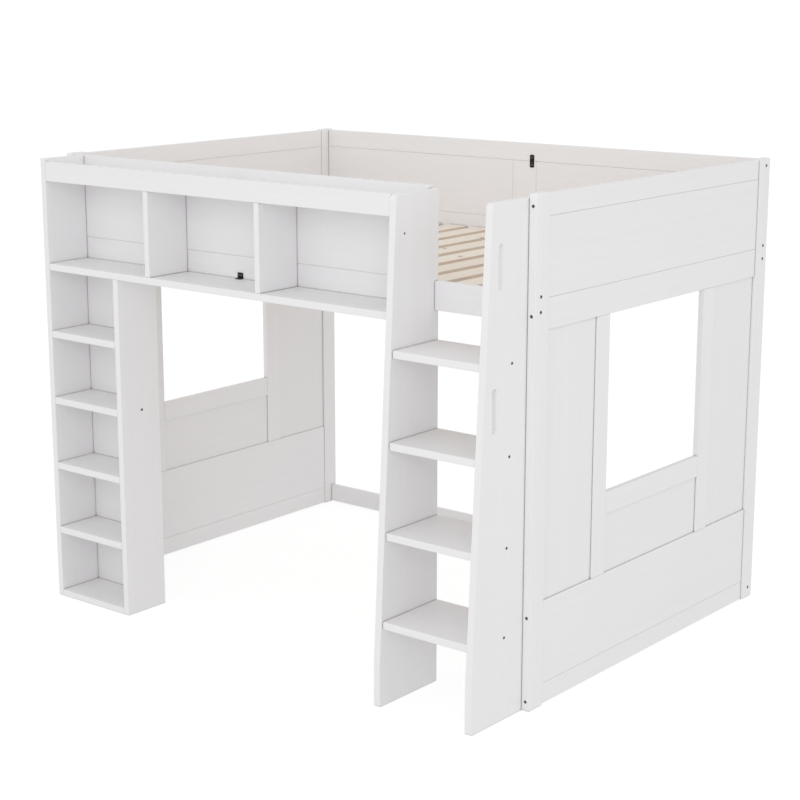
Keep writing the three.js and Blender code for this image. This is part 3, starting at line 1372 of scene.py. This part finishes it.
@dataclass
class Studio:
    """Floor, backdrop, surrounding light, lamps and the camera."""

    camera_place: Triple = (4.1636, -5.1035, 2.2819)
    azimuth: float = 38.912
    elevation: float = 12.99
    lens: float = 82.294
    sensor: float = 36.0
    view_depth: float = 200.0
    reach: float = 60.0
    disc_sides: int = 96
    dome_share: float = 1.5
    shown_drop: float = 0.5 * MM
    bounce_drop: float = 1.0 * MM
    sky: float = 0.79
    shown_floor: StudioFloor = StudioFloor("studio_floor", 0.25, 0.82)
    bounce_floor: StudioFloor = StudioFloor("studio_bounce", 0.32, 0.45)
    backdrop: StudioFloor = StudioFloor("studio_backdrop", 0.05, 1.0)

    def build(self) -> None:
        """Builds the studio."""
        self._stage(self.shown_floor, self._disc, -self.shown_drop, seen=True)
        self._stage(self.bounce_floor, self._disc, -self.bounce_drop, seen=False)
        self._stage(self.backdrop, self._dome, 0.0, seen=True)
        self._world()
        middle, upper = (0.0, 0.0, 0.8), (0.0, 0.0, 0.9)
        bluish, cool = (0.99, 0.99, 1.0), (0.99, 0.98, 1.0)
        for lamp in (
            Lamp("key_lamp", (-2.4, -6.0, 3.6), middle, size=4.0, power=22.0),
            Lamp("fill_lamp", (4.6, -6.4, 3.4), upper, size=4.5, power=86.0, tint=bluish),
            Lamp("side_lamp", (7.5, 1.0, 2.6), upper, size=4.0, power=22.0, tint=cool),
        ):
            lamp.build()
        self._camera()
        bpy.context.scene.view_settings.view_transform = "Standard"
        log.info("Studio: floor, backdrop, world, lamps and camera")

    def _disc(self, shape: bmesh.types.BMesh) -> None:
        """Fills a bmesh with a disc that reaches past every view."""
        rim = ring_of(shape, Matrix.Identity(4), self.reach, 0.0, self.disc_sides)
        shape.faces.new(rim)

    def _dome(self, shape: bmesh.types.BMesh) -> None:
        """Fills a bmesh with a ball round everything."""
        radius = self.dome_share * self.reach
        bmesh.ops.create_icosphere(shape, subdivisions=4, radius=radius)

    @staticmethod
    def _stage(
        finish: StudioFloor,
        build: Callable[[bmesh.types.BMesh], None],
        height: float,
        seen: bool,
    ) -> None:
        """Adds a stage surface that is either seen or a source of bounced light.

        Args:
            finish: its finish, whose name it takes.
            build: fills its bmesh.
            height: where it stands.
            seen: True for what is looked at, False for what lights the bed.
        """
        surface = mesh_object(finish.name, build)
        surface.location.z = height
        surface.data.materials.append(finish.build())
        surface.visible_camera = seen
        surface.visible_diffuse = not seen
        surface.visible_glossy = not seen
        surface.visible_transmission = not seen
        surface.visible_shadow = not seen

    def _world(self) -> None:
        """Fills the surroundings with even white light."""
        world = bpy.data.worlds.new("studio")
        world.use_nodes = True
        back = next(n for n in world.node_tree.nodes if n.type == "BACKGROUND")
        back.inputs["Color"].default_value = (*WHITE, OPAQUE)
        back.inputs["Strength"].default_value = self.sky
        bpy.context.scene.world = world

    def _camera(self) -> None:
        """Adds the camera."""
        data = bpy.data.cameras.new("camera")
        data.lens = self.lens
        data.sensor_width = self.sensor
        data.sensor_fit = "HORIZONTAL"
        data.clip_end = self.view_depth
        camera = bpy.data.objects.new("camera", data)
        az, el = math.radians(self.azimuth), math.radians(self.elevation)
        look = Vector((
            -math.sin(az) * math.cos(el),
            math.cos(az) * math.cos(el),
            -math.sin(el),
        ))
        camera.location = self.camera_place
        camera.rotation_euler = look.to_track_quat("-Z", "Y").to_euler()
        bpy.context.scene.collection.objects.link(camera)
        bpy.context.scene.camera = camera


def main() -> None:
    """Builds every assembly in order and reports each piece."""
    logging.basicConfig(level=logging.INFO, format="%(message)s")
    palette = Palette()
    EndFrame(palette, side=Side.LEFT).build()
    EndFrame(palette, side=Side.RIGHT).build()
    BackSide(palette).build()
    FrontSide(palette).build()
    SlattedBase(palette).build()
    CubbyShelf(palette).build()
    Bookcase(palette).build()
    Ladder(palette).build()
    Studio().build()


if __name__ == "__main__":
    main()
